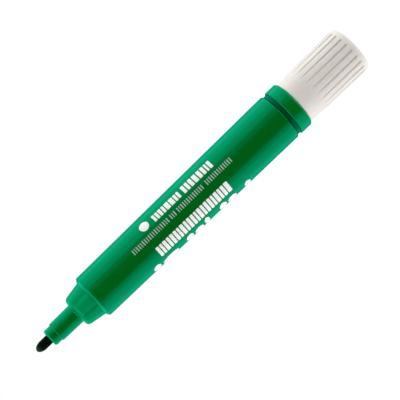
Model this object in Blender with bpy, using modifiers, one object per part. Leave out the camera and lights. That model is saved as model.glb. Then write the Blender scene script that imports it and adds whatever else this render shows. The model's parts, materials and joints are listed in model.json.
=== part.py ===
"""Refillable whiteboard marker, standing on the flat end of its posted cap with the nib up.

Metres, +Z up. The marker's axis is the Z axis and its lowest face is at z = 0.
"""

import math

import bmesh
import bpy
from mathutils import Matrix, Vector

MM = 0.001

# ---- Driving sizes of the outside.
BARREL_LENGTH = 80.0 * MM
BARREL_REAR_RADIUS = 8.31 * MM
BARREL_TAPER = 0.73 * MM
CONE_LENGTH = 6.4 * MM
CONE_TAPER = 1.1 * MM
NIB_TUBE_LENGTH = 8.3 * MM
NIB_TUBE_TAPER = 0.11 * MM
COLLAR_LENGTH = 2.7 * MM
COLLAR_STEP = 0.34 * MM
NIB_RADIUS = 1.55 * MM
NIB_REACH = 5.3 * MM
NIB_POINT_LENGTH = 2.7 * MM
GROOVE_WIDTH = 1.4 * MM
GROOVE_DEPTH = 0.56 * MM
FLANGE_LENGTH = 4.3 * MM
FLANGE_LIP = 0.01 * MM
CAP_MOUTH_LIP = 0.06 * MM
CAP_SHOULDER_FLARE = 0.48 * MM
CAP_END_FLARE = 0.61 * MM
CAP_FLARE_LENGTH = 10.0 * MM

# ---- Walls and inner sizes.
BARREL_WALL = 1.2 * MM
BARREL_RIBS = 6
BARREL_RIB_THICKNESS = 0.8 * MM
BARREL_RIB_SETBACK = 2.2 * MM
NIB_HOLDER_WALL = 0.9 * MM
SPIGOT_LENGTH = 10.0 * MM
NIB_TUBE_WALL = 1.0 * MM
NIB_TUBE_AIR = 0.66 * MM
NIB_RIBS = 6
NIB_RIB_THICKNESS = 0.45 * MM
COLLAR_LIP_LENGTH = 0.9 * MM
RESERVOIR_SETBACK = 2.8 * MM
NIB_SEAT_DEPTH = 4.0 * MM
WRAP_THICKNESS = 0.15 * MM
WRAP_INSET = 1.0 * MM
PLUG_SKIRT_LENGTH = 11.0 * MM
PLUG_SKIRT_WALL = 1.1 * MM
PLUG_BEADS = 2
PLUG_BEAD_HEIGHT = 0.3 * MM
PLUG_WEB = 2.0 * MM
PLUG_RIBS = 4
PLUG_RIB_THICKNESS = 1.0 * MM
PLUG_RIB_INNER_RADIUS = 2.2 * MM
PLUG_RIB_REACH = 2.0 * MM
POST_WALL = 1.0 * MM
CAP_FLOOR = 1.2 * MM
SEAL_WALL = 0.75 * MM
SEAL_FLOOR = 0.75 * MM
SEAL_SHORTFALL = 1.2 * MM

# ---- Flutes of the cap.
FLUTES = 22
FLUTE_RADIUS = 0.42 * MM
FLUTE_DEPTH = 0.4 * MM
FLUTE_START = 2.4 * MM
FLUTE_PHASE = math.radians(-94.5)

# ---- Clearances.
SEAT_GAP = 0.10 * MM
PUSH_GAP = 0.08 * MM
SLIDE_GAP = 0.12 * MM
NIB_GAP = 0.12 * MM
CAP_GAP = 0.20 * MM
NIB_TIP_ROOM = 0.30 * MM
POST_ROOM = 0.25 * MM

# ---- Edges.
BARREL_FRONT_EDGE = 0.8 * MM
BARREL_REAR_EDGE = 0.45 * MM
FLANGE_FRONT_EDGE = 0.25 * MM
FLANGE_REAR_EDGE = 0.8 * MM
COLLAR_EDGE = 0.6 * MM
CONE_EDGE = 1.4 * MM
CAP_MOUTH_EDGE = 0.2 * MM
CAP_END_CORNER = 1.3 * MM
SMALL_EDGE = 0.3 * MM

ROUND_STEPS = 48
CAP_STEPS = 2 * FLUTES
FINE_STEPS = 24
MERGE = 1e-6

# ---- Radii that follow from the sizes above, from the barrel inwards and then out to the cap.
BARREL_FRONT_RADIUS = BARREL_REAR_RADIUS - BARREL_TAPER
CONE_REAR_RADIUS = BARREL_FRONT_RADIUS - BARREL_WALL - PUSH_GAP
CONE_FRONT_RADIUS = CONE_REAR_RADIUS - CONE_TAPER
SPIGOT_BORE_RADIUS = CONE_REAR_RADIUS - NIB_HOLDER_WALL
RESERVOIR_OUTER_RADIUS = SPIGOT_BORE_RADIUS - PUSH_GAP
RESERVOIR_RADIUS = RESERVOIR_OUTER_RADIUS - WRAP_THICKNESS - PUSH_GAP
NIB_BORE_RADIUS = NIB_RADIUS + NIB_GAP
NIB_TUBE_BORE_RADIUS = NIB_RADIUS + NIB_TUBE_AIR
NIB_TUBE_FRONT_RADIUS = NIB_TUBE_BORE_RADIUS + NIB_TUBE_WALL
NIB_TUBE_REAR_RADIUS = NIB_TUBE_FRONT_RADIUS + NIB_TUBE_TAPER
COLLAR_RADIUS = NIB_TUBE_FRONT_RADIUS - COLLAR_STEP
GROOVE_RADIUS = BARREL_REAR_RADIUS - GROOVE_DEPTH
FLANGE_RADIUS = BARREL_REAR_RADIUS + FLANGE_LIP
CAP_BORE_RADIUS = CONE_REAR_RADIUS + CAP_GAP
POST_RADIUS = CAP_BORE_RADIUS - SLIDE_GAP
CAP_MOUTH_RADIUS = BARREL_FRONT_RADIUS + CAP_MOUTH_LIP
CAP_SHOULDER_RADIUS = CAP_MOUTH_RADIUS + CAP_SHOULDER_FLARE
CAP_END_RADIUS = CAP_MOUTH_RADIUS + CAP_END_FLARE
FLUTE_FLOOR_RADIUS = CAP_END_RADIUS - FLUTE_DEPTH
SEAL_BORE_RADIUS = NIB_TUBE_REAR_RADIUS + SLIDE_GAP
SEAL_RADIUS = SEAL_BORE_RADIUS + SEAL_WALL

# ---- Stations along the axis. The cap is as long as the nib section that it covers.
NIB_SECTION_LENGTH = CONE_LENGTH + NIB_TUBE_LENGTH + COLLAR_LENGTH + NIB_REACH
Z_SEAL_REAR = CAP_FLOOR + SEAT_GAP
Z_SEAL_FLOOR = Z_SEAL_REAR + SEAL_FLOOR
CAP_LENGTH = Z_SEAL_FLOOR + NIB_TIP_ROOM + NIB_SECTION_LENGTH
Z_SEAL_FRONT = CAP_LENGTH - CONE_LENGTH - SEAL_SHORTFALL
Z_POST_END = Z_SEAL_FRONT + POST_ROOM
Z_FLANGE_REAR = CAP_LENGTH + SEAT_GAP
Z_FLANGE_FRONT = Z_FLANGE_REAR + FLANGE_LENGTH
Z_BARREL_REAR = Z_FLANGE_FRONT + GROOVE_WIDTH
Z_BARREL_FRONT = Z_BARREL_REAR + BARREL_LENGTH
Z_CONE_FRONT = Z_BARREL_FRONT + CONE_LENGTH
Z_COLLAR_REAR = Z_CONE_FRONT + NIB_TUBE_LENGTH
Z_COLLAR_FRONT = Z_COLLAR_REAR + COLLAR_LENGTH
Z_NIB_TIP = Z_COLLAR_FRONT + NIB_REACH
Z_SKIRT_FRONT = Z_BARREL_REAR + PLUG_SKIRT_LENGTH
Z_PLUG_RIB_FRONT = Z_SKIRT_FRONT + PLUG_RIB_REACH
Z_RESERVOIR_REAR = Z_PLUG_RIB_FRONT + SEAT_GAP
Z_RESERVOIR_FRONT = Z_BARREL_FRONT - RESERVOIR_SETBACK
Z_NIB_SEAT = Z_RESERVOIR_FRONT - NIB_SEAT_DEPTH
Z_NIB_REAR = Z_NIB_SEAT + SEAT_GAP
Z_SPIGOT_REAR = Z_BARREL_FRONT - SPIGOT_LENGTH


def barrel_outer_radius(z):
    share = (z - Z_BARREL_REAR) / BARREL_LENGTH
    return BARREL_REAR_RADIUS + (BARREL_FRONT_RADIUS - BARREL_REAR_RADIUS) * share


def barrel_bore_radius(z):
    return barrel_outer_radius(z) - BARREL_WALL


def clear_scene():
    for obj in list(bpy.data.objects):
        bpy.data.objects.remove(obj, do_unlink=True)


def new_collection(name):
    collection = bpy.data.collections.new(name)
    bpy.context.scene.collection.children.link(collection)
    return collection


def plastic(name, colour, roughness, metallic=0.0):
    """A Principled material with one colour, roughness and metallic value."""
    material = bpy.data.materials.new(name)
    material.use_nodes = True
    shader = material.node_tree.nodes["Principled BSDF"]
    shader.inputs["Base Color"].default_value = (*colour, 1.0)
    shader.inputs["Roughness"].default_value = roughness
    shader.inputs["Metallic"].default_value = metallic
    material.diffuse_color = (*colour, 1.0)
    return material


def arc(centre_r, centre_z, radius, start, end, steps):
    """Points on an arc of a profile, from one angle to another in degrees, measured from the outward direction."""
    points = []
    for i in range(steps + 1):
        angle = math.radians(start + (end - start) * i / steps)
        points.append((centre_r + radius * math.cos(angle), centre_z + radius * math.sin(angle)))
    return points


def turned(name, profile, seat_z, material, collection, steps=ROUND_STEPS, closed=False):
    """Turn a profile of (radius, height) points about the marker's axis. The object's origin is on its seat."""
    mesh = bpy.data.meshes.new(name)
    bm = bmesh.new()
    verts = [bm.verts.new((radius, 0.0, z - seat_z)) for radius, z in profile]
    for first, second in zip(verts, verts[1:]):
        bm.edges.new((first, second))
    if closed:
        bm.edges.new((verts[-1], verts[0]))
    bm.to_mesh(mesh)
    bm.free()
    mesh.materials.append(material)
    obj = bpy.data.objects.new(name, mesh)
    obj.location = (0.0, 0.0, seat_z)
    collection.objects.link(obj)
    screw = obj.modifiers.new("turn", "SCREW")
    screw.axis = "Z"
    screw.steps = steps
    screw.render_steps = steps
    screw.use_merge_vertices = True
    screw.merge_threshold = MERGE
    screw.use_smooth_shade = True
    return obj


def tool_object(name, bm, cutters):
    """A helper mesh for a Boolean, drawn as wires and left out of the render."""
    mesh = bpy.data.meshes.new(name)
    bmesh.ops.recalc_face_normals(bm, faces=bm.faces)
    bm.to_mesh(mesh)
    bm.free()
    obj = bpy.data.objects.new(name, mesh)
    obj.hide_render = True
    obj.display_type = "WIRE"
    cutters.objects.link(obj)
    return obj


def boolean(obj, tool, operation):
    modifier = obj.modifiers.new(tool.name, "BOOLEAN")
    modifier.operation = operation
    modifier.solver = "EXACT"
    modifier.object = tool


def add_radial_rib(bm, angle, thickness, inner, outer, low, high):
    """A flat rib in a plane through the axis. inner and outer give the radius at a height."""
    corners = bmesh.ops.create_cube(bm, size=1.0)["verts"]
    turn = Matrix.Rotation(angle, 3, "Z")
    for corner in corners:
        z = high if corner.co.z > 0 else low
        radius = outer(z) if corner.co.x > 0 else inner(z)
        corner.co = turn @ Vector((radius, math.copysign(thickness / 2, corner.co.y), z))


def radial_ribs(name, count, thickness, inner, outer, low, high, cutters):
    bm = bmesh.new()
    for i in range(count):
        add_radial_rib(bm, 2 * math.pi * i / count, thickness, inner, outer, low, high)
    return tool_object(name, bm, cutters)


def build_barrel(green, parts, cutters):
    front = BARREL_FRONT_RADIUS - BARREL_FRONT_EDGE
    rear = BARREL_REAR_RADIUS - BARREL_REAR_EDGE
    profile = [(barrel_bore_radius(Z_BARREL_FRONT), Z_BARREL_FRONT)]
    profile += arc(front, Z_BARREL_FRONT - BARREL_FRONT_EDGE, BARREL_FRONT_EDGE, 90, 0, 3)
    profile += arc(rear, Z_BARREL_REAR + BARREL_REAR_EDGE, BARREL_REAR_EDGE, 0, -90, 2)
    profile += [
        (barrel_bore_radius(Z_BARREL_REAR) + SMALL_EDGE, Z_BARREL_REAR),
        (barrel_bore_radius(Z_BARREL_REAR), Z_BARREL_REAR + SMALL_EDGE),
    ]
    barrel = turned("barrel", profile, Z_BARREL_REAR, green, parts, closed=True)
    ribs = radial_ribs(
        "barrel_ribs", BARREL_RIBS, BARREL_RIB_THICKNESS,
        lambda z: RESERVOIR_OUTER_RADIUS + PUSH_GAP,
        lambda z: barrel_outer_radius(z) - BARREL_WALL / 2,
        Z_SKIRT_FRONT + BARREL_RIB_SETBACK, Z_SPIGOT_REAR - SEAT_GAP, cutters,
    )
    boolean(barrel, ribs, "UNION")


def build_nib_holder(green, parts, cutters):
    slope = math.degrees(math.atan2(CONE_REAR_RADIUS - CONE_FRONT_RADIUS, CONE_LENGTH))
    inner_step = Z_CONE_FRONT - 2 * NIB_HOLDER_WALL
    profile = [(NIB_BORE_RADIUS, Z_COLLAR_FRONT)]
    profile += arc(COLLAR_RADIUS - COLLAR_EDGE, Z_COLLAR_FRONT - COLLAR_EDGE, COLLAR_EDGE, 90, 0, 3)
    profile += [
        (COLLAR_RADIUS, Z_COLLAR_REAR),
        (NIB_TUBE_FRONT_RADIUS - SMALL_EDGE / 3, Z_COLLAR_REAR),
        (NIB_TUBE_FRONT_RADIUS, Z_COLLAR_REAR - SMALL_EDGE / 3),
        (NIB_TUBE_REAR_RADIUS, Z_CONE_FRONT),
    ]
    profile += arc(CONE_FRONT_RADIUS - CONE_EDGE, Z_CONE_FRONT - CONE_EDGE, CONE_EDGE, 90, slope, 4)
    profile += [
        (CONE_REAR_RADIUS, Z_BARREL_FRONT),
        (CONE_REAR_RADIUS, Z_SPIGOT_REAR + SMALL_EDGE),
        (CONE_REAR_RADIUS - SMALL_EDGE, Z_SPIGOT_REAR),
        (SPIGOT_BORE_RADIUS, Z_SPIGOT_REAR),
        (SPIGOT_BORE_RADIUS, Z_BARREL_FRONT - NIB_HOLDER_WALL),
        (CONE_FRONT_RADIUS - NIB_HOLDER_WALL - SMALL_EDGE, inner_step),
        (NIB_TUBE_BORE_RADIUS, inner_step + SMALL_EDGE),
        (NIB_TUBE_BORE_RADIUS, Z_COLLAR_FRONT - COLLAR_LIP_LENGTH),
        (NIB_BORE_RADIUS, Z_COLLAR_FRONT - COLLAR_LIP_LENGTH),
    ]
    holder = turned("nib_holder", profile, Z_BARREL_FRONT, green, parts, closed=True)
    ribs = radial_ribs(
        "nib_ribs", NIB_RIBS, NIB_RIB_THICKNESS,
        lambda z: NIB_BORE_RADIUS,
        lambda z: (NIB_TUBE_BORE_RADIUS + COLLAR_RADIUS) / 2,
        Z_CONE_FRONT, Z_COLLAR_FRONT - COLLAR_LIP_LENGTH / 2, cutters,
    )
    boolean(holder, ribs, "UNION")


def build_nib(fibre, parts):
    point = []
    steps = 6
    for i in range(steps + 1):
        angle = math.radians(90 - 90 * i / steps)
        height = Z_NIB_TIP - NIB_POINT_LENGTH + NIB_POINT_LENGTH * math.sin(angle)
        point.append((NIB_RADIUS * math.cos(angle) if i else 0.0, height))
    profile = point + [
        (NIB_RADIUS, Z_NIB_REAR + NIB_RADIUS),
        (NIB_RADIUS / 2, Z_NIB_REAR),
        (0.0, Z_NIB_REAR),
    ]
    turned("nib", profile, Z_COLLAR_FRONT, fibre, parts, steps=FINE_STEPS)


def build_reservoir(wadding, film, parts):
    profile = [
        (0.0, Z_NIB_SEAT),
        (NIB_BORE_RADIUS, Z_NIB_SEAT),
        (NIB_BORE_RADIUS, Z_RESERVOIR_FRONT),
        (RESERVOIR_RADIUS, Z_RESERVOIR_FRONT),
        (RESERVOIR_RADIUS, Z_RESERVOIR_REAR),
        (0.0, Z_RESERVOIR_REAR),
    ]
    turned("ink_reservoir", profile, Z_RESERVOIR_REAR, wadding, parts)
    front = Z_RESERVOIR_FRONT - WRAP_INSET
    rear = Z_RESERVOIR_REAR + WRAP_INSET
    inner = RESERVOIR_OUTER_RADIUS - WRAP_THICKNESS
    sleeve = [
        (inner, front),
        (RESERVOIR_OUTER_RADIUS, front),
        (RESERVOIR_OUTER_RADIUS, rear),
        (inner, rear),
    ]
    turned("reservoir_wrap", sleeve, Z_RESERVOIR_REAR, film, parts, closed=True)


def build_refill_plug(green, parts, cutters):
    bead_radius = barrel_bore_radius(Z_SKIRT_FRONT) - SLIDE_GAP
    skirt_radius = bead_radius - PLUG_BEAD_HEIGHT
    skirt_bore = skirt_radius - PLUG_SKIRT_WALL
    web_front = Z_FLANGE_REAR + PLUG_WEB
    neck_front = Z_BARREL_REAR - SEAT_GAP
    profile = [
        (0.0, web_front),
        (skirt_bore, web_front),
        (skirt_bore, Z_SKIRT_FRONT),
        (skirt_radius - SMALL_EDGE, Z_SKIRT_FRONT),
        (skirt_radius, Z_SKIRT_FRONT - SMALL_EDGE),
    ]
    for i in range(PLUG_BEADS):
        middle = Z_SKIRT_FRONT - PLUG_SKIRT_LENGTH * (i + 1) / (PLUG_BEADS + 1)
        profile += arc(skirt_radius, middle, PLUG_BEAD_HEIGHT, 90, -90, 2)
    profile += [(skirt_radius, neck_front), (GROOVE_RADIUS, neck_front), (GROOVE_RADIUS, Z_FLANGE_FRONT)]
    profile += arc(
        FLANGE_RADIUS - FLANGE_FRONT_EDGE, Z_FLANGE_FRONT - FLANGE_FRONT_EDGE, FLANGE_FRONT_EDGE, 90, 0, 1
    )
    profile += arc(
        FLANGE_RADIUS - FLANGE_REAR_EDGE, Z_FLANGE_REAR + FLANGE_REAR_EDGE, FLANGE_REAR_EDGE, 0, -90, 3
    )
    profile += [
        (POST_RADIUS, Z_FLANGE_REAR),
        (POST_RADIUS, Z_POST_END + SMALL_EDGE),
        (POST_RADIUS - SMALL_EDGE, Z_POST_END),
        (POST_RADIUS - POST_WALL, Z_POST_END),
        (POST_RADIUS - POST_WALL, Z_FLANGE_REAR),
        (0.0, Z_FLANGE_REAR),
    ]
    plug = turned("refill_plug", profile, Z_BARREL_REAR, green, parts)
    ribs = radial_ribs(
        "plug_ribs", PLUG_RIBS, PLUG_RIB_THICKNESS,
        lambda z: PLUG_RIB_INNER_RADIUS,
        lambda z: skirt_bore + PLUG_SKIRT_WALL / 2,
        web_front - PLUG_WEB / 2, Z_PLUG_RIB_FRONT, cutters,
    )
    boolean(plug, ribs, "UNION")


def cap_outer_radius(z):
    """The cap widens softly from its mouth to a shoulder, then almost evenly to its closed end."""
    shoulder_z = CAP_LENGTH - CAP_FLARE_LENGTH
    if z >= shoulder_z:
        share = (CAP_LENGTH - z) / CAP_FLARE_LENGTH
        return CAP_MOUTH_RADIUS + (CAP_SHOULDER_RADIUS - CAP_MOUTH_RADIUS) * math.sin(share * math.pi / 2)
    share = (shoulder_z - z) / (shoulder_z - CAP_END_CORNER)
    return CAP_SHOULDER_RADIUS + (CAP_END_RADIUS - CAP_SHOULDER_RADIUS) * share


def flute_cutters(cutters):
    """Straight round bars beside the axis: each one leaves a flute that deepens as the cap widens."""
    bm = bmesh.new()
    length = CAP_LENGTH - FLUTE_START
    middle = FLUTE_START + length / 2
    for i in range(FLUTES):
        turn = Matrix.Rotation(FLUTE_PHASE + 2 * math.pi * i / FLUTES, 4, "Z")
        place = Matrix.Translation((FLUTE_FLOOR_RADIUS + FLUTE_RADIUS, 0.0, middle))
        bmesh.ops.create_cone(
            bm, cap_ends=True, segments=10, radius1=FLUTE_RADIUS, radius2=FLUTE_RADIUS,
            depth=length, matrix=turn @ place,
        )
    return tool_object("flute_cutters", bm, cutters)


def build_cap(white, parts, cutters):
    profile = [
        (0.0, CAP_FLOOR),
        (CAP_BORE_RADIUS, CAP_FLOOR),
        (CAP_BORE_RADIUS, CAP_LENGTH - SMALL_EDGE),
        (CAP_BORE_RADIUS + SMALL_EDGE, CAP_LENGTH),
    ]
    profile += arc(CAP_MOUTH_RADIUS - CAP_MOUTH_EDGE, CAP_LENGTH - CAP_MOUTH_EDGE, CAP_MOUTH_EDGE, 90, 0, 1)
    bands = 5
    low = CAP_END_CORNER
    high = CAP_LENGTH - CAP_MOUTH_EDGE
    for i in range(1, bands):
        z = high + (low - high) * i / bands
        profile.append((cap_outer_radius(z), z))
    profile += arc(CAP_END_RADIUS - CAP_END_CORNER, CAP_END_CORNER, CAP_END_CORNER, 0, -90, 3)
    profile.append((0.0, 0.0))
    cap = turned("cap", profile, CAP_LENGTH, white, parts, steps=CAP_STEPS)
    boolean(cap, flute_cutters(cutters), "DIFFERENCE")


def build_cap_inner_seal(soft, parts):
    """A sleeve that closes on the nib tube, standing on a disc pressed into the closed end of the cap."""
    disc = CAP_BORE_RADIUS - PUSH_GAP
    profile = [
        (0.0, Z_SEAL_FLOOR),
        (SEAL_BORE_RADIUS, Z_SEAL_FLOOR),
        (SEAL_BORE_RADIUS, Z_SEAL_FRONT - SMALL_EDGE),
        (SEAL_BORE_RADIUS + SMALL_EDGE, Z_SEAL_FRONT),
        (SEAL_RADIUS, Z_SEAL_FRONT),
        (SEAL_RADIUS, Z_SEAL_FLOOR),
        (disc, Z_SEAL_FLOOR),
        (disc, Z_SEAL_REAR),
        (0.0, Z_SEAL_REAR),
    ]
    turned("cap_inner_seal", profile, CAP_LENGTH, soft, parts)


def gather_under_empty(parts):
    """All pieces hang from one empty at the marker's foot, so the whole marker can be placed at once."""
    foot = bpy.data.objects.new("marker_foot", None)
    foot.empty_display_size = CAP_END_RADIUS
    pieces = list(parts.objects)
    parts.objects.link(foot)
    for piece in pieces:
        piece.parent = foot


def main():
    clear_scene()
    parts = new_collection("whiteboard_marker")
    cutters = new_collection("marker_cutters")
    green = plastic("green_plastic", (0.0, 0.27, 0.09), 0.32)
    white = plastic("white_plastic", (0.82, 0.79, 0.75), 0.45)
    soft = plastic("soft_seal_plastic", (0.78, 0.78, 0.74), 0.6)
    fibre = plastic("inked_fibre", (0.005, 0.03, 0.012), 0.7)
    wadding = plastic("ink_soaked_wadding", (0.02, 0.2, 0.08), 0.9)
    film = plastic("clear_film", (0.75, 0.8, 0.78), 0.3)
    build_barrel(green, parts, cutters)
    build_nib_holder(green, parts, cutters)
    build_nib(fibre, parts)
    build_reservoir(wadding, film, parts)
    build_refill_plug(green, parts, cutters)
    build_cap(white, parts, cutters)
    build_cap_inner_seal(soft, parts)
    gather_under_empty(parts)


main()
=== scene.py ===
"""A refillable whiteboard marker standing on its posted cap: the finished look of every piece."""

import json
import math

import bmesh
import bpy
from mathutils import Matrix, Vector

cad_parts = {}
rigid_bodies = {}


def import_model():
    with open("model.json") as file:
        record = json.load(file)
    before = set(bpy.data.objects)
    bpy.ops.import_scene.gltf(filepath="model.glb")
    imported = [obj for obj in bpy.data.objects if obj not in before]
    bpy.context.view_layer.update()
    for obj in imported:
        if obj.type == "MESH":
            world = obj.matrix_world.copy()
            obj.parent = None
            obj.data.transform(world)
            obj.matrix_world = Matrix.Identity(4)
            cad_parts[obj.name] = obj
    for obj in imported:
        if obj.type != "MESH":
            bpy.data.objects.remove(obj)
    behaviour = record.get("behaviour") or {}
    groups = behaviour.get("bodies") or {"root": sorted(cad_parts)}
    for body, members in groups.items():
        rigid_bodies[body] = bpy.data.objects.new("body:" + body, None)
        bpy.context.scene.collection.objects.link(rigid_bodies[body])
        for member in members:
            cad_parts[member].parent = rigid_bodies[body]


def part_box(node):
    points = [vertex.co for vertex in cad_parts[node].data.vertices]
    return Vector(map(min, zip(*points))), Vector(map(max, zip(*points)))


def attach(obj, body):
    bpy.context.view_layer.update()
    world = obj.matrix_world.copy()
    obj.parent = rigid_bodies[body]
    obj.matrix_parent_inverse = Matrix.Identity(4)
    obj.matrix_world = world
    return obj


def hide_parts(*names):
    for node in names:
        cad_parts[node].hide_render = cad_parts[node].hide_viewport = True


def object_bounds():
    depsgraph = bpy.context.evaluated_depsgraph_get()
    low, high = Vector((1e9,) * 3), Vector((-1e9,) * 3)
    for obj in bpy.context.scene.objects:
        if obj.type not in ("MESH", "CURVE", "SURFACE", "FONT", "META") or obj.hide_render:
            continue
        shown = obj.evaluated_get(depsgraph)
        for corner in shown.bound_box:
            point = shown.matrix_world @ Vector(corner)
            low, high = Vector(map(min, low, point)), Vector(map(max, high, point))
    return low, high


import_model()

cad_low, cad_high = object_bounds()

MM = 0.001
SCENE = bpy.context.scene
SHARP_ANGLE = math.radians(38)
ROUND_STEPS = 192
INNER_STEPS = 96
SUPPORT = 0.06 * MM

# ---- The lowest and highest corner of each piece.
BARREL_LOW, BARREL_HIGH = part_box("barrel")
HOLDER_LOW, HOLDER_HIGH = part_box("nib_holder")
NIB_LOW, NIB_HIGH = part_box("nib")
PLUG_LOW, PLUG_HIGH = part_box("refill_plug")
CAP_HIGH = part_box("cap")[1]
SEAL_LOW, SEAL_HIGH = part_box("cap_inner_seal")
WADDING_LOW, WADDING_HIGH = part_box("ink_reservoir")
FILM_LOW, FILM_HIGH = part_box("reservoir_wrap")

# ---- Sizes of the pieces. A taper is how much smaller a radius is at the other end.
BARREL_TAPER = 0.73 * MM
BARREL_WALL = 1.2 * MM
BARREL_CHAMFER = 1.05 * MM
BARREL_CHAMFER_LENGTH = 0.75 * MM
BARREL_REAR_EDGE = 0.45 * MM
BARREL_RIBS = 6
BARREL_RIB_THICKNESS = 0.8 * MM
BARREL_RIB_START = 0.2 * MM
CONE_LENGTH = 6.4 * MM
CONE_TAPER = 1.1 * MM
CONE_EDGE = 1.25 * MM
NIB_TUBE_TAPER = 0.11 * MM
COLLAR_LENGTH = 2.7 * MM
COLLAR_STEP = 0.34 * MM
COLLAR_EDGE = 0.6 * MM
NIB_TUBE_WALL = 1.0 * MM
NIB_TUBE_AIR = 0.66 * MM
NIB_TUBE_LIP = 0.9 * MM
HOLDER_WALL = 0.9 * MM
GRIP_RIBS = 6
GRIP_RIB_THICKNESS = 0.45 * MM
NIB_GAP = 0.12 * MM
NIB_POINT = 2.7 * MM
NIB_WEAR_LENGTH = 2.4 * MM
WADDING_EDGE = 0.35 * MM
FILM_THICKNESS = 0.15 * MM
FILM_GAP = 0.08 * MM
GROOVE_DEPTH = 0.56 * MM
STAIN_AND_SHADE_MARGIN = 0.02 * MM
STAIN_AND_SHADE_DEPTH = 0.3 * MM
FLANGE_LENGTH = 4.3 * MM
PLUG_WEB = 2.0 * MM
PLUG_WALL = 1.1 * MM
PLUG_RIBS = 4
PLUG_RIB_THICKNESS = 1.0 * MM
PLUG_RIB_REACH = 2.0 * MM
PLUG_RIB_INNER = 2.2 * MM
BEAD_HEIGHT = 0.3 * MM
BEAD_HALF_WIDTH = 0.4 * MM
SEAT_GAP = 0.1 * MM
POST_WALL = 1.0 * MM
CAP_GAP = 0.2 * MM
SLIDE_GAP = 0.12 * MM
CAP_FLOOR = 1.2 * MM
CAP_END_CORNER = 1.3 * MM
CAP_MOUTH_STEP = 0.06 * MM
CAP_WIDENING = 0.46 * MM
CAP_FLARE = 9.0 * MM
CAP_BANDS = 76
DIMPLE_RADIUS = 0.8 * MM
DIMPLE_RIM = 1.0 * MM
DIMPLE_DEPTH = 0.14 * MM
SEAL_WALL = 0.75 * MM
SEAL_GAP = 0.12 * MM
FLUTES = 22
FLUTE_STEPS = 18
FLUTE_PHASE = math.radians(-94.5)
FLUTE_RADIUS = 0.50 * MM
FLUTE_START = 2.1 * MM
FLUTE_FADE = 20.2 * MM

BARREL_REAR = BARREL_HIGH.x
BARREL_FRONT = BARREL_REAR - BARREL_TAPER
CONE_REAR = HOLDER_HIGH.x
CONE_FRONT = CONE_REAR - CONE_TAPER
Z_CONE_FRONT = BARREL_HIGH.z + CONE_LENGTH
Z_COLLAR_REAR = HOLDER_HIGH.z - COLLAR_LENGTH
NIB_RADIUS = NIB_HIGH.x
TUBE_BORE = NIB_RADIUS + NIB_TUBE_AIR
TUBE_FRONT = TUBE_BORE + NIB_TUBE_WALL
TUBE_REAR = TUBE_FRONT + NIB_TUBE_TAPER
COLLAR = TUBE_FRONT - COLLAR_STEP
NIB_HOLE = NIB_RADIUS + NIB_GAP
Z_FLANGE_REAR = CAP_HIGH.z + SEAT_GAP
Z_FLANGE_FRONT = Z_FLANGE_REAR + FLANGE_LENGTH
FLANGE = PLUG_HIGH.x
GROOVE = BARREL_REAR - GROOVE_DEPTH
CAP_BORE = CONE_REAR + CAP_GAP
POST = CAP_BORE - SLIDE_GAP
CAP_END = CAP_HIGH.x
CAP_MOUTH = BARREL_FRONT + CAP_MOUTH_STEP
CAP_SHOULDER = CAP_MOUTH + CAP_WIDENING

# ---- Colours.
GREEN_DEEP = (0.0, 0.058, 0.0028)
GREEN_PLAIN = (0.0, 0.061, 0.0031)
GREEN_PALE = (0.0, 0.067, 0.0039)
GREEN_GLOSS = (0.0, 1.0, 0.72, 1.0)
# The plug neck's dark tones: ink stain together with painted shade in the recess.
STAIN_AND_SHADE_DARK = (0.0, 0.011, 0.0003)
STAIN_AND_SHADE_LIGHT = (0.0, 0.026, 0.0010)
WHITE_PLAIN = (0.83, 0.79, 0.75)
WHITE_WARM = (0.81, 0.765, 0.72)
# Grime together with painted shade, darkening the cap's flutes.
WHITE_GRIME_AND_SHADE = (0.62, 0.59, 0.555)
SEAL_PLAIN = (0.72, 0.72, 0.68)
SEAL_PALE = (0.8, 0.8, 0.76)
NIB_WET = (0.0003, 0.003, 0.0006)
NIB_STRAND = (0.0006, 0.007, 0.0016)
NIB_WORN = (0.07, 0.19, 0.11)
WADDING_DARK = (0.004, 0.07, 0.03)
WADDING_LIGHT = (0.02, 0.24, 0.1)
FILM_DARK = (0.55, 0.66, 0.6)
FILM_LIGHT = (0.75, 0.82, 0.78)
PRINT_WHITE = (0.97, 0.98, 0.96)
PRINT_WHITE_WORN = (0.4, 0.66, 0.5)
PRINT_GREY = (0.36, 0.52, 0.42)
PRINT_GREY_WORN = (0.15, 0.35, 0.2)
PLAIN_LIGHT = (1.0, 1.0, 1.0)
GREEN_GEL = (0.02, 1.0, 0.8)


def barrel_radius(z):
    share = (z - BARREL_LOW.z) / (BARREL_HIGH.z - BARREL_LOW.z)
    return BARREL_REAR - BARREL_TAPER * share


# ---------------------------------------------------------------- materials


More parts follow.
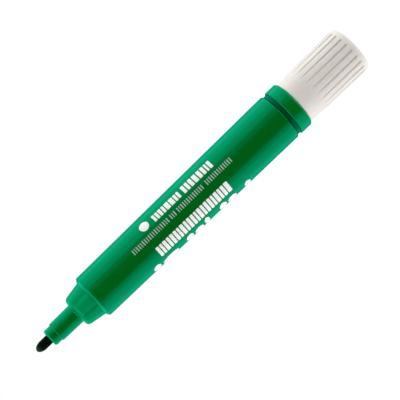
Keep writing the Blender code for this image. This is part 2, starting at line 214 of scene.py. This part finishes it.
class Recipe:
    """A Principled material with helpers that keep each finish short to write."""

    def __init__(self, name):
        self.material = bpy.data.materials.new(name)
        self.material.use_nodes = True
        self.tree = self.material.node_tree
        self.shader = self.tree.nodes["Principled BSDF"]
        self.place = self.add("ShaderNodeTexCoord").outputs["Object"]

    def add(self, kind, **settings):
        made = self.tree.nodes.new(kind)
        for key, value in settings.items():
            setattr(made, key, value)
        return made

    def join(self, output, target):
        self.tree.links.new(output, target)

    def set(self, **values):
        for key, value in values.items():
            self.shader.inputs[key.replace("_", " ")].default_value = value

    def stretched(self, scale):
        mapping = self.add("ShaderNodeMapping")
        mapping.inputs["Scale"].default_value = scale
        self.join(self.place, mapping.inputs["Vector"])
        return mapping.outputs["Vector"]

    def noise(self, scale, detail=2.0, vector=None, rough=0.5):
        made = self.add("ShaderNodeTexNoise")
        made.inputs["Scale"].default_value = scale
        made.inputs["Detail"].default_value = detail
        made.inputs["Roughness"].default_value = rough
        self.join(vector or self.place, made.inputs["Vector"])
        return made.outputs["Fac"]

    def spread(self, source, low, high, start=0.3, end=0.7):
        """Turn a factor into a number between low and high."""
        made = self.add("ShaderNodeMapRange")
        made.inputs["From Min"].default_value = start
        made.inputs["From Max"].default_value = end
        made.inputs["To Min"].default_value = low
        made.inputs["To Max"].default_value = high
        self.join(source, made.inputs["Value"])
        return made.outputs["Result"]

    def blend(self, factor, first, second):
        """A colour between two colours or outputs."""
        made = self.add("ShaderNodeMix", data_type="RGBA")
        self.join(factor, made.inputs["Factor"])
        for socket, value in ((made.inputs[6], first), (made.inputs[7], second)):
            if isinstance(value, tuple):
                socket.default_value = (*value, 1.0)
            else:
                self.join(value, socket)
        return made.outputs[2]

    def bump(self, height, distance, strength=1.0, over=None):
        made = self.add("ShaderNodeBump")
        made.inputs["Distance"].default_value = distance
        made.inputs["Strength"].default_value = strength
        self.join(height, made.inputs["Height"])
        if over is not None:
            self.join(over, made.inputs["Normal"])
        return made.outputs["Normal"]

    def colour(self, output):
        self.join(output, self.shader.inputs["Base Color"])

    def roughness(self, output):
        self.join(output, self.shader.inputs["Roughness"])

    def normal(self, output):
        self.join(output, self.shader.inputs["Normal"])


def green_plastic():
    """Satin polypropylene, with faint moulding flow along the marker and handling smudges."""
    look = Recipe("green_plastic")
    look.set(IOR=1.49, Specular_IOR_Level=0.78, Specular_Tint=GREEN_GLOSS)
    flow = look.noise(1.0, 3.0, look.stretched((420.0, 420.0, 26.0)))
    cloud = look.noise(90.0, 3.0)
    tone = look.blend(look.spread(cloud, 0.0, 1.0), GREEN_DEEP, GREEN_PLAIN)
    look.colour(look.blend(look.spread(flow, 0.0, 0.35), tone, GREEN_PALE))
    look.roughness(look.spread(look.noise(260.0, 4.0), 0.18, 0.26))
    grain = look.bump(look.noise(6000.0, 2.0), 0.004 * MM, 0.5)
    look.normal(look.bump(flow, 0.010 * MM, 0.5, grain))
    return look.material


def stain_and_shade_green_plastic():
    """The same plastic in the plug's neck, where ink and dust settle and take off the shine; its darker
    colour is ink stain and painted shade in the recess.
    """
    look = Recipe("green_plastic_stain_and_shade")
    look.set(IOR=1.49, Specular_IOR_Level=0.4, Specular_Tint=GREEN_GLOSS)
    # Ink stain and painted shade: the neck's colour is set dark.
    look.colour(look.blend(look.spread(look.noise(800.0, 4.0), 0.0, 1.0), STAIN_AND_SHADE_DARK, STAIN_AND_SHADE_LIGHT))
    look.roughness(look.spread(look.noise(900.0, 3.0), 0.3, 0.48))
    look.normal(look.bump(look.noise(3000.0, 3.0), 0.01 * MM, 0.6))
    return look.material


def white_plastic():
    """Semi-matt white polypropylene, a little translucent, with grime and painted shade darkening the
    flutes.
    """
    look = Recipe("white_plastic")
    look.set(IOR=1.47, Specular_IOR_Level=0.35, Subsurface_Weight=0.25, Subsurface_Scale=0.8 * MM)
    look.shader.inputs["Subsurface Radius"].default_value = (1.0, 0.9, 0.75)
    cloud = look.noise(150.0, 3.0)
    body = look.blend(look.spread(cloud, 0.0, 1.0), WHITE_PLAIN, WHITE_WARM)
    flute_depth = look.add("ShaderNodeAttribute", attribute_name="flute")
    speck = look.noise(1400.0, 3.0)
    grime_and_shade = look.add("ShaderNodeMath", operation="MULTIPLY")
    look.join(flute_depth.outputs["Fac"], grime_and_shade.inputs[0])
    look.join(look.spread(speck, 0.75, 1.0), grime_and_shade.inputs[1])
    # The flutes' depth darkens the colour: grime and painted shade.
    look.colour(look.blend(grime_and_shade.outputs[0], body, WHITE_GRIME_AND_SHADE))
    look.roughness(look.spread(look.noise(500.0, 4.0), 0.36, 0.5))
    look.normal(look.bump(look.noise(3800.0, 3.0), 0.008 * MM, 0.6))
    return look.material


def soft_seal_plastic():
    look = Recipe("soft_seal_plastic")
    look.set(IOR=1.46, Subsurface_Weight=0.3, Subsurface_Scale=1.0 * MM)
    look.colour(look.blend(look.spread(look.noise(300.0, 3.0), 0.0, 1.0), SEAL_PLAIN, SEAL_PALE))
    look.roughness(look.spread(look.noise(700.0, 3.0), 0.5, 0.65))
    look.normal(look.bump(look.noise(2500.0, 2.0), 0.006 * MM, 0.6))
    return look.material


def nib_fibre():
    """Ground acrylic fibre, wet with ink: fine strands along the nib, paler where the point is worn."""
    look = Recipe("nib_fibre")
    look.set(IOR=1.4, Specular_IOR_Level=0.05)
    strand = look.noise(1.0, 3.0, look.stretched((7000.0, 7000.0, 500.0)))
    wet = look.blend(look.spread(strand, 0.0, 1.0), NIB_WET, NIB_STRAND)
    height = look.add("ShaderNodeSeparateXYZ")
    look.join(look.place, height.inputs["Vector"])
    climb = look.spread(height.outputs["Z"], 0.0, 1.0, NIB_HIGH.z - NIB_WEAR_LENGTH, NIB_HIGH.z)
    near_tip = look.add("ShaderNodeMath", operation="POWER")
    look.join(climb, near_tip.inputs[0])
    near_tip.inputs[1].default_value = 2.6
    worn = look.add("ShaderNodeMath", operation="MULTIPLY")
    look.join(near_tip.outputs[0], worn.inputs[0])
    look.join(look.spread(strand, 0.6, 1.0), worn.inputs[1])
    look.colour(look.blend(worn.outputs[0], wet, NIB_WORN))
    look.roughness(look.spread(strand, 0.6, 0.85))
    look.normal(look.bump(strand, 0.05 * MM, 0.8))
    return look.material


def ink_wadding():
    look = Recipe("ink_wadding")
    strand = look.noise(1.0, 4.0, look.stretched((3500.0, 3500.0, 160.0)))
    look.colour(look.blend(look.spread(strand, 0.0, 1.0), WADDING_DARK, WADDING_LIGHT))
    look.roughness(look.spread(strand, 0.6, 0.9))
    look.normal(look.bump(strand, 0.12 * MM, 0.9))
    return look.material


def clear_film():
    look = Recipe("clear_film")
    look.set(IOR=1.5, Alpha=0.45)
    crease = look.noise(1.0, 3.0, look.stretched((900.0, 900.0, 120.0)))
    look.colour(look.blend(look.spread(crease, 0.0, 1.0), FILM_DARK, FILM_LIGHT))
    look.roughness(look.spread(crease, 0.18, 0.35))
    look.normal(look.bump(crease, 0.05 * MM, 0.7))
    return look.material


def print_ink(name, colour, worn_colour, wear):
    """Pad-printed ink, thin and slightly uneven, rubbed here and there."""
    look = Recipe(name)
    look.set(IOR=1.45)
    rubbed = look.spread(look.noise(1500.0, 5.0, rough=0.7), 0.0, 1.0, wear, wear + 0.12)
    look.colour(look.blend(rubbed, colour, worn_colour))
    look.roughness(look.spread(look.noise(900.0, 3.0), 0.38, 0.55))
    look.normal(look.bump(look.noise(5200.0, 2.0), 0.004 * MM, 0.6))
    return look.material


# ---------------------------------------------------------------- modelling


def ring_edges(bm, radius, z, tolerance=0.002 * MM):
    def on_ring(vert):
        return abs(vert.co.z - z) < tolerance and abs(vert.co.xy.length - radius) < tolerance

    return [edge for edge in bm.edges if on_ring(edge.verts[0]) and on_ring(edge.verts[1])]


def supported(outline, closed):
    """The outline with a plain point beyond each end of a rounding, so long faces are shaded flat."""
    count = len(outline)
    points = []
    for i, point in enumerate(outline):
        points.append(point[:2])
        if not closed and i == count - 1:
            break
        after = outline[(i + 1) % count]
        start, end = Vector(point[:2]), Vector(after[:2])
        length = (end - start).length
        near = point[2] + SUPPORT if len(point) == 3 else 0.0
        far = after[2] + SUPPORT if len(after) == 3 else 0.0
        if near + far < length - SUPPORT:
            if near:
                points.append(tuple(start.lerp(end, near / length)))
            if far:
                points.append(tuple(end.lerp(start, far / length)))
    return points


def turned(outline, steps=ROUND_STEPS, closed=False, rings=4):
    """Spin an outline about the marker's axis. A point is a radius, a height and perhaps a rounding."""
    bm = bmesh.new()
    verts = [bm.verts.new((radius, 0.0, z)) for radius, z in supported(outline, closed)]
    edges = [bm.edges.new(pair) for pair in zip(verts, verts[1:])]
    if closed:
        edges.append(bm.edges.new((verts[-1], verts[0])))
    bmesh.ops.spin(
        bm, geom=verts + edges, cent=(0, 0, 0), axis=(0, 0, 1), angle=2 * math.pi, steps=steps,
        use_merge=True,
    )
    bmesh.ops.remove_doubles(bm, verts=bm.verts, dist=1e-7)
    bmesh.ops.recalc_face_normals(bm, faces=bm.faces)
    for radius, z, rounding in (point for point in outline if len(point) == 3):
        bmesh.ops.bevel(
            bm, geom=ring_edges(bm, radius, z), offset=rounding, offset_type="OFFSET", segments=rings,
            profile=0.5, affect="EDGES", clamp_overlap=False, material=-1,
        )
    return bm


def finished(name, bm, material):
    mesh = bpy.data.meshes.new(name)
    bm.to_mesh(mesh)
    bm.free()
    mesh.materials.append(material)
    mesh.shade_smooth()
    mesh.set_sharp_from_angle(angle=SHARP_ANGLE)
    obj = bpy.data.objects.new(name, mesh)
    SCENE.collection.objects.link(obj)
    return obj


def placed(obj, body, node):
    """Hang a piece on the body that carries it, and hide the CAD node it stands for."""
    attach(obj, body)
    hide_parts(node)


def rib_set(count, thickness, inner, outer_low, outer_high, low, high):
    """Flat ribs standing round the axis. Each is a block from the inner to the outer radius."""
    bm = bmesh.new()
    for i in range(count):
        turn = Matrix.Rotation(2 * math.pi * i / count, 3, "Z")
        for corner in bmesh.ops.create_cube(bm, size=1.0)["verts"]:
            top = corner.co.z > 0
            outer = outer_high if top else outer_low
            radius = outer if corner.co.x > 0 else inner
            side = math.copysign(thickness / 2, corner.co.y)
            corner.co = turn @ Vector((radius, side, high if top else low))
    bmesh.ops.recalc_face_normals(bm, faces=bm.faces)
    return bm


def united(obj, bm):
    """Join a second shape into a piece with one Boolean union, and keep only the result."""
    mesh = bpy.data.meshes.new("ribs")
    bm.to_mesh(mesh)
    bm.free()
    ribs = bpy.data.objects.new("ribs", mesh)
    SCENE.collection.objects.link(ribs)
    union = obj.modifiers.new("ribs", "BOOLEAN")
    union.operation = "UNION"
    union.object = ribs
    graph = bpy.context.evaluated_depsgraph_get()
    solid = bpy.data.meshes.new_from_object(obj.evaluated_get(graph))
    obj.modifiers.clear()
    old = obj.data
    obj.data = solid
    bpy.data.meshes.remove(old)
    bpy.data.objects.remove(ribs)
    bpy.data.meshes.remove(mesh)
    obj.data.shade_smooth()
    obj.data.set_sharp_from_angle(angle=SHARP_ANGLE)
    return obj


def make_barrel(plastic):
    rear, front = BARREL_LOW.z, BARREL_HIGH.z
    shoulder = front - BARREL_CHAMFER_LENGTH
    outline = [
        (BARREL_FRONT - BARREL_WALL, front),
        (BARREL_FRONT - BARREL_CHAMFER, front, 0.12 * MM),
        (barrel_radius(shoulder), shoulder, 0.25 * MM),
        (BARREL_REAR, rear, BARREL_REAR_EDGE),
        (BARREL_REAR - BARREL_WALL, rear, 0.2 * MM),
    ]
    barrel = finished("barrel_shell", turned(outline, closed=True, rings=5), plastic)
    low, high = PLUG_HIGH.z + BARREL_RIB_START, HOLDER_LOW.z - SEAT_GAP
    outer_low, outer_high = (barrel_radius(z) - BARREL_WALL / 2 for z in (low, high))
    inner = FILM_HIGH.x + FILM_GAP
    ribs = rib_set(BARREL_RIBS, BARREL_RIB_THICKNESS, inner, outer_low, outer_high, low, high)
    placed(united(barrel, ribs), "barrel", "barrel")


def make_nib_holder(plastic):
    bore = CONE_REAR - HOLDER_WALL
    step = Z_CONE_FRONT - 2 * HOLDER_WALL
    lip = HOLDER_HIGH.z - NIB_TUBE_LIP
    outline = [
        (NIB_HOLE, HOLDER_HIGH.z, 0.12 * MM),
        (COLLAR, HOLDER_HIGH.z, COLLAR_EDGE),
        (COLLAR, Z_COLLAR_REAR),
        (TUBE_FRONT, Z_COLLAR_REAR, 0.24 * MM),
        (TUBE_REAR, Z_CONE_FRONT, 0.3 * MM),
        (CONE_FRONT, Z_CONE_FRONT, CONE_EDGE),
        (CONE_REAR - SUPPORT / 6, BARREL_HIGH.z + SUPPORT),
        (CONE_REAR, BARREL_HIGH.z),
        (CONE_REAR, HOLDER_LOW.z, 0.3 * MM),
        (bore, HOLDER_LOW.z),
        (bore, BARREL_HIGH.z - HOLDER_WALL),
        (CONE_FRONT - HOLDER_WALL - 0.3 * MM, step),
        (TUBE_BORE, step + 0.3 * MM),
        (TUBE_BORE, lip),
        (NIB_HOLE, lip),
    ]
    holder = finished("nib_section", turned(outline, closed=True), plastic)
    grip = (TUBE_BORE + COLLAR) / 2
    ribs = rib_set(GRIP_RIBS, GRIP_RIB_THICKNESS, NIB_HOLE, grip, grip, Z_CONE_FRONT, lip + 0.4 * MM)
    placed(united(holder, ribs), "barrel", "nib_holder")


def make_nib(fibre):
    """A bullet point on a straight rod, turned from an outline that follows half an ellipse."""
    steps = 14
    base = NIB_HIGH.z - NIB_POINT
    outline = []
    for i in range(steps + 1):
        angle = math.radians(90 * i / steps)
        outline.append((NIB_RADIUS * math.sin(angle), base + NIB_POINT * math.cos(angle)))
    outline += [(NIB_RADIUS, NIB_LOW.z + NIB_RADIUS), (NIB_RADIUS / 2, NIB_LOW.z), (0.0, NIB_LOW.z)]
    placed(finished("fibre_nib", turned(outline, INNER_STEPS), fibre), "nib", "nib")


def make_ink_store(wadding, film):
    top, floor = WADDING_HIGH.z, NIB_LOW.z - SEAT_GAP
    outline = [
        (0.0, floor),
        (NIB_HOLE, floor),
        (NIB_HOLE, top),
        (WADDING_HIGH.x, top, WADDING_EDGE),
        (WADDING_HIGH.x, WADDING_LOW.z, WADDING_EDGE),
        (0.0, WADDING_LOW.z),
    ]
    core = finished("ink_wadding_core", turned(outline, INNER_STEPS), wadding)
    placed(core, "barrel", "ink_reservoir")
    sleeve = [
        (FILM_HIGH.x - FILM_THICKNESS, FILM_HIGH.z),
        (FILM_HIGH.x, FILM_HIGH.z, 0.05 * MM),
        (FILM_HIGH.x, FILM_LOW.z, 0.05 * MM),
        (FILM_HIGH.x - FILM_THICKNESS, FILM_LOW.z),
    ]
    wrap = finished("wadding_film", turned(sleeve, INNER_STEPS, closed=True, rings=2), film)
    placed(wrap, "barrel", "reservoir_wrap")


def make_tail_plug(plastic, stain_and_shade):
    skirt_top = PLUG_HIGH.z - PLUG_RIB_REACH
    bead = barrel_radius(skirt_top) - BARREL_WALL - SLIDE_GAP
    skirt = bead - BEAD_HEIGHT
    bore = skirt - PLUG_WALL
    web = Z_FLANGE_REAR + PLUG_WEB
    neck = BARREL_LOW.z - SEAT_GAP
    outline = [
        (0.0, web),
        (bore, web, 0.3 * MM),
        (bore, skirt_top),
        (skirt, skirt_top, 0.3 * MM),
    ]
    for share in (1 / 3, 2 / 3):
        middle = skirt_top - (skirt_top - BARREL_LOW.z) * share
        outline += [
            (skirt, middle + BEAD_HALF_WIDTH),
            (bead, middle, 0.2 * MM),
            (skirt, middle - BEAD_HALF_WIDTH),
        ]
    outline += [
        (skirt, neck),
        (GROOVE, neck, 0.12 * MM),
        (GROOVE, Z_FLANGE_FRONT, 0.1 * MM),
        (FLANGE, Z_FLANGE_FRONT, 0.28 * MM),
        (FLANGE, Z_FLANGE_REAR, 0.6 * MM),
        (POST, Z_FLANGE_REAR),
        (POST, PLUG_LOW.z, 0.4 * MM),
        (POST - POST_WALL, PLUG_LOW.z, 0.15 * MM),
        (POST - POST_WALL, Z_FLANGE_REAR),
        (0.0, Z_FLANGE_REAR),
    ]
    plug = finished("tail_plug", turned(outline), plastic)
    outer = bore + 0.5 * MM
    low = web - PLUG_WEB / 2
    ribs = rib_set(PLUG_RIBS, PLUG_RIB_THICKNESS, PLUG_RIB_INNER, outer, outer, low, PLUG_HIGH.z)
    united(plug, ribs)
    plug.data.materials.append(stain_and_shade)
    # The dark ink stain and painted shade cover what lies between the flange and the barrel, and deeper
    # than the flange's rim.
    for face in plug.data.polygons:
        in_neck = Z_FLANGE_FRONT - STAIN_AND_SHADE_MARGIN < face.center.z < BARREL_LOW.z
        face.material_index = int(in_neck and face.center.xy.length < FLANGE - STAIN_AND_SHADE_DEPTH)
    placed(plug, "refill_plug", "refill_plug")


def cap_radius(z):
    """The cap flares softly from its mouth to a shoulder, then widens a little to its closed end."""
    shoulder = CAP_HIGH.z - CAP_FLARE
    if z >= shoulder:
        share = (CAP_HIGH.z - z) / CAP_FLARE
        ease = share * share * (3 - 2 * share)
        return CAP_MOUTH + (CAP_SHOULDER - CAP_MOUTH) * ease
    share = (shoulder - z) / (shoulder - CAP_END_CORNER)
    return CAP_SHOULDER + (CAP_END - CAP_SHOULDER) * min(share, 1.0)


def flute_reach(vert, floor_radius):
    """How far a point of the cap's wall sinks into the nearest flute, cut by a round bar."""
    pitch = 2 * math.pi / FLUTES
    angle = math.atan2(vert.co.y, vert.co.x) - FLUTE_PHASE
    across = (angle - pitch * round(angle / pitch)) * vert.co.xy.length
    below = max(FLUTE_START + FLUTE_RADIUS - vert.co.z, 0.0)
    left = FLUTE_RADIUS ** 2 - across ** 2 - below ** 2
    if left <= 0:
        return 0.0
    bar = floor_radius + FLUTE_RADIUS - math.sqrt(left)
    return max(vert.co.xy.length - bar, 0.0)


def cut_flutes(bm):
    """Sink the flutes into the cap's wall. The weight left on each point marks how deep it sinks, and
    darkens the colour there as grime and painted shade.
    """
    weight = bm.verts.layers.float.new("flute")
    floor_radius = cap_radius(FLUTE_FADE)
    depth_scale = CAP_END - floor_radius
    for vert in bm.verts:
        if vert.co.xy.length < CAP_MOUTH - 0.1 * MM or vert.co.z > FLUTE_FADE:
            continue
        reach = flute_reach(vert, floor_radius)
        if reach > 0:
            radius = vert.co.xy.length
            vert.co.xy *= (radius - reach) / radius
            vert[weight] = min(reach / depth_scale * 1.4, 1.0)


def make_cap(plastic):
    outline = [
        (0.0, CAP_FLOOR),
        (CAP_BORE, CAP_FLOOR, 0.25 * MM),
        (CAP_BORE, CAP_HIGH.z, 0.3 * MM),
        (CAP_MOUTH, CAP_HIGH.z, 0.1 * MM),
    ]
    top, low = CAP_HIGH.z - 0.3 * MM, CAP_END_CORNER + 0.08 * MM
    for i in range(CAP_BANDS + 1):
        z = top + (low - top) * i / CAP_BANDS
        outline.append((cap_radius(z), z))
    outline += [
        (CAP_END, 0.0, CAP_END_CORNER),
        (DIMPLE_RIM, 0.0, 0.05 * MM),
        (DIMPLE_RADIUS, DIMPLE_DEPTH),
        (0.0, DIMPLE_DEPTH),
    ]
    bm = turned(outline, FLUTES * FLUTE_STEPS, rings=6)
    cut_flutes(bm)
    placed(finished("fluted_cap", bm, plastic), "cap", "cap")


def make_seal(soft):
    bore = TUBE_REAR + SEAL_GAP
    sleeve = bore + SEAL_WALL
    floor = SEAL_LOW.z + SEAL_WALL
    outline = [
        (0.0, floor),
        (bore, floor, 0.3 * MM),
        (bore, SEAL_HIGH.z, 0.3 * MM),
        (sleeve, SEAL_HIGH.z, 0.15 * MM),
        (sleeve, floor, 0.25 * MM),
        (SEAL_HIGH.x, floor, 0.15 * MM),
        (SEAL_HIGH.x, SEAL_LOW.z),
        (0.0, SEAL_LOW.z),
    ]
    seal = finished("inner_seal", turned(outline, INNER_STEPS), soft)
    placed(seal, "cap", "cap_inner_seal")


# ---------------------------------------------------------------- printing on the barrel

PRINT_LIFT = 0.012 * MM
PRINT_THICKNESS = 0.03 * MM
PRINT_GRAIN = 0.35 * MM

# Places on the print are in millimetres: how far behind the barrel's front edge, and how far round it.
# Each row of bars: start, place round the barrel, height, the bars' lengths, gap and corner rounding.
BOLD_ROWS = (
    (29.7, 4.75, 2.6, (0.9, 0.9, 1.0, 0.9, 1.5, 1.5, 0.9, 0.9), 0.36, 0.2),
    (42.0, 4.85, 3.0, (1.1, 1.0, 1.2, 1.4, 1.2, 1.1, 0.7, 1.1), 0.45, 0.2),
    (24.0, -4.75, 4.0, (1.05, 0.85, 1.2, 0.95, 1.1) * 4 + (1.4,), 0.37, 0.22),
)
THIN_BARS = (0.38, 0.3, 0.44) * 6
FINE_ROWS = (
    (18.3, 1.1, 1.75, THIN_BARS, 0.46, 0.1),
    (33.8, 1.1, 1.75, THIN_BARS[:3], 0.46, 0.1),
    (36.8, 1.1, 1.75, THIN_BARS[:13], 0.46, 0.1),
    (48.6, 1.1, 1.75, THIN_BARS[:13], 0.46, 0.1),
)
# Each disc or oval: start, place round the barrel, length and height.
DISC = (24.6, 5.2, 3.3, 3.4)
OVALS = (
    (19.5, -9.9, 2.8, 3.4),
    (23.2, -10.5, 6.4, 3.0),
    (33.0, -10.0, 2.8, 3.4),
    (36.5, -10.4, 3.4, 3.0),
    (40.7, -9.7, 1.9, 3.8),
    (46.8, -9.9, 2.8, 3.4),
    (50.3, -10.3, 3.4, 3.0),
    (57.2, -10.2, 2.4, 3.2),
)


def wrap_on_barrel(bm):
    """Bend the flat print round the barrel: x runs towards the cap, and y climbs round the barrel."""
    for vert in bm.verts:
        z = BARREL_HIGH.z - vert.co.x
        angle = vert.co.y / BARREL_REAR
        radius = barrel_radius(z) + PRINT_LIFT + vert.co.z
        vert.co = Vector((radius * math.sin(angle), -radius * math.cos(angle), z))
    bmesh.ops.recalc_face_normals(bm, faces=bm.faces)


def add_block(bm, along, across, length, width, corner=0.0, drawn_in=0.0):
    """A flat printed block, in the plane of the print before it is wrapped.

    Its corners are rounded off, or all its sides are drawn in: 1 makes it a full oval.
    """
    block = bmesh.new()
    columns = max(1, round(length / PRINT_GRAIN))
    rows = max(1, round(width / PRINT_GRAIN))
    middle = Vector((along + length / 2, across, 0.0))
    place = Matrix.Translation(middle) @ Matrix.Diagonal((length, width, 1.0, 1.0))
    bmesh.ops.create_grid(block, x_segments=columns, y_segments=rows, size=0.5, matrix=place)
    if corner:
        corners = [vert for vert in block.verts if len(vert.link_edges) == 2]
        bmesh.ops.bevel(
            block, geom=corners, offset=corner, segments=4, profile=0.5, affect="VERTICES",
            clamp_overlap=False, material=-1,
        )
    for vert in block.verts:
        u, v = 2 * (vert.co.x - middle.x) / length, 2 * (vert.co.y - middle.y) / width
        vert.co.x = middle.x + u * math.sqrt(1 - drawn_in * v * v / 2) * length / 2
        vert.co.y = middle.y + v * math.sqrt(1 - drawn_in * u * u / 2) * width / 2
    raised = bmesh.ops.extrude_face_region(block, geom=block.faces[:])
    for item in raised["geom"]:
        if isinstance(item, bmesh.types.BMVert):
            item.co.z += PRINT_THICKNESS
    mesh = bpy.data.meshes.new("block")
    block.to_mesh(mesh)
    block.free()
    bm.from_mesh(mesh)
    bpy.data.meshes.remove(mesh)


def add_oval(bm, start, across, length, width):
    add_block(bm, start * MM, across * MM, length * MM, width * MM, drawn_in=1.0)


def add_row(bm, start, across, width, lengths, gap, corner):
    along = start * MM
    for length in lengths:
        add_block(bm, along, across * MM, length * MM, width * MM, corner=corner * MM)
        along += length * MM + gap * MM


def make_print(white, grey):
    bold = bmesh.new()
    add_oval(bold, *DISC)
    for row in BOLD_ROWS:
        add_row(bold, *row)
    for oval in OVALS:
        add_oval(bold, *oval)
    fine = bmesh.new()
    for row in FINE_ROWS:
        add_row(fine, *row)
    for name, bm, ink in (("bold_print", bold, white), ("fine_print", fine, grey)):
        wrap_on_barrel(bm)
        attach(finished(name, bm, ink), "barrel")


# ---------------------------------------------------------------- stage, lights and camera

# The floor lies clear of the cap when the tail plug and the cap are both drawn right down.
FLOOR_LEVEL = -31.0 * MM
FLOOR_RADIUS = 2.5

CAMERA_DISTANCE = 516.0 * MM
CAMERA_PITCH = math.radians(5.0)
CAMERA_TILT = math.radians(43.98)
CAMERA_AIM = Vector((-1.36 * MM, 0.0, 66.35 * MM))
CAMERA_LENS = 152.5

# Each softbox: name, azimuth, elevation, width and height in degrees, distance in metres,
# then its radiance on the green pieces and on the others.
SOFTBOXES = (
    ("left", -98, 0, 66, 90, 0.6, 2.2, 1.6),
    ("left_wing", -55, 0, 22, 90, 0.6, 1.2, 1.2),
    ("right", 102, 0, 56, 90, 0.6, 2.7, 1.9),
    ("right_wing", 60, 0, 30, 90, 0.6, 2.0, 1.05),
    ("right_edge", 33, 0, 24, 90, 0.6, 0.6, 0.15),
    ("back", 180, 0, 100, 90, 0.6, 1.0, 0.5),
    ("upper", 0, 36, 82, 32, 1.6, 3.0, 0.05),
    ("lower", 0, -48, 56, 50, 1.6, 1.5, 1.4),
    ("top", 0, 90, 100, 100, 0.6, 2.1, 0.2),
    ("below", 0, -90, 84, 84, 0.6, 2.6, 0.4),
)


def make_floor():
    bm = bmesh.new()
    bmesh.ops.create_circle(bm, cap_ends=True, segments=96, radius=FLOOR_RADIUS)
    look = Recipe("pale_floor")
    look.set(Roughness=0.9, Specular_IOR_Level=0.1)
    look.shader.inputs["Base Color"].default_value = (0.4, 0.4, 0.4, 1.0)
    look.shader.inputs["Emission Color"].default_value = (1.0, 1.0, 1.0, 1.0)
    look.shader.inputs["Emission Strength"].default_value = 0.97
    floor = finished("floor", bm, look.material)
    floor.location.z = FLOOR_LEVEL
    floor.visible_diffuse = False
    floor.visible_glossy = False
    floor.visible_shadow = False


def make_world():
    """A white surround for the eye that is dimmer in reflections, so the plastic keeps its depth."""
    world = bpy.data.worlds.new("studio")
    SCENE.world = world
    world.use_nodes = True
    tree = world.node_tree
    tree.nodes.clear()
    rays = tree.nodes.new("ShaderNodeLightPath")
    out = tree.nodes.new("ShaderNodeOutputWorld")
    eye, fill, gloss = (tree.nodes.new("ShaderNodeBackground") for _ in range(3))
    for background, strength in ((eye, 1.0), (fill, 0.12), (gloss, 0.03)):
        background.inputs["Color"].default_value = (1.0, 1.0, 1.0, 1.0)
        background.inputs["Strength"].default_value = strength
    first, second = (tree.nodes.new("ShaderNodeMixShader") for _ in range(2))
    tree.links.new(rays.outputs["Is Glossy Ray"], first.inputs["Fac"])
    tree.links.new(fill.outputs[0], first.inputs[1])
    tree.links.new(gloss.outputs[0], first.inputs[2])
    tree.links.new(rays.outputs["Is Camera Ray"], second.inputs["Fac"])
    tree.links.new(first.outputs[0], second.inputs[1])
    tree.links.new(eye.outputs[0], second.inputs[2])
    tree.links.new(second.outputs[0], out.inputs["Surface"])


def make_softbox(name, azimuth, elevation, wide, tall, distance, radiance, colour, lit):
    """A softbox facing the marker's middle. Its angles are in degrees, from the camera's side."""
    around, above = math.radians(azimuth), math.radians(elevation)
    lamp = bpy.data.lights.new(name, "AREA")
    lamp.shape = "RECTANGLE"
    lamp.size = 2 * distance * math.tan(math.radians(wide / 2))
    lamp.size_y = 2 * distance * math.tan(math.radians(tall / 2))
    lamp.energy = radiance * math.pi * lamp.size * lamp.size_y
    lamp.color = colour
    level = math.cos(above)
    away = Vector((math.sin(around) * level, -math.cos(around) * level, math.sin(above)))
    obj = bpy.data.objects.new(name, lamp)
    obj.location = away * distance + Vector((0.0, 0.0, (cad_low[2] + cad_high[2]) / 2))
    obj.rotation_mode = "QUATERNION"
    obj.rotation_quaternion = (-away).to_track_quat("-Z", "Y")
    obj.visible_camera = False
    obj.light_linking.receiver_collection = lit
    SCENE.collection.objects.link(obj)


def make_lights():
    """Softboxes all round the marker. The green pieces have a gelled set of their own.

    Of those, only the tail plug is lit from below, where its flange catches the light at its rear.
    """
    gelled, plain, tail = (
        bpy.data.collections.new(name) for name in ("lit_gelled", "lit_plain", "lit_tail")
    )
    tail.objects.link(bpy.data.objects["tail_plug"])
    for obj in SCENE.objects:
        if obj.type == "MESH":
            green = obj.material_slots and obj.material_slots[0].name.startswith("green_plastic")
            (gelled if green else plain).objects.link(obj)
    for name, *shape, on_green, on_other in SOFTBOXES:
        make_softbox("gelled_" + name, *shape, on_green, GREEN_GEL, tail if name == "below" else gelled)
        make_softbox("plain_" + name, *shape, on_other, PLAIN_LIGHT, plain)


def make_camera():
    """The camera looks slightly down at the marker and is rolled: the nib points to the lower left."""
    ahead = Vector((0.0, math.cos(CAMERA_PITCH), -math.sin(CAMERA_PITCH)))
    upright = Vector((0.0, math.sin(CAMERA_PITCH), math.cos(CAMERA_PITCH)))
    across = Vector((1.0, 0.0, 0.0))
    right = -math.sin(CAMERA_TILT) * across - math.cos(CAMERA_TILT) * upright
    up = math.cos(CAMERA_TILT) * across - math.sin(CAMERA_TILT) * upright
    camera = bpy.data.cameras.new("camera")
    camera.lens = CAMERA_LENS
    camera.sensor_width = 36.0
    camera.clip_start, camera.clip_end = 0.05, 20.0
    obj = bpy.data.objects.new("camera", camera)
    turn = Matrix((right, up, -ahead)).transposed().to_4x4()
    obj.matrix_world = Matrix.Translation(CAMERA_AIM - ahead * CAMERA_DISTANCE) @ turn
    SCENE.collection.objects.link(obj)
    SCENE.camera = obj


def main():
    make_camera()
    make_world()
    make_floor()
    SCENE.view_settings.view_transform = "Standard"
    green = green_plastic()
    make_barrel(green)
    make_nib_holder(green)
    make_tail_plug(green, stain_and_shade_green_plastic())
    make_nib(nib_fibre())
    make_ink_store(ink_wadding(), clear_film())
    make_cap(white_plastic())
    make_seal(soft_seal_plastic())
    make_print(
        print_ink("print_white", PRINT_WHITE, PRINT_WHITE_WORN, 0.66),
        print_ink("print_grey", PRINT_GREY, PRINT_GREY_WORN, 0.6),
    )
    make_lights()


main()
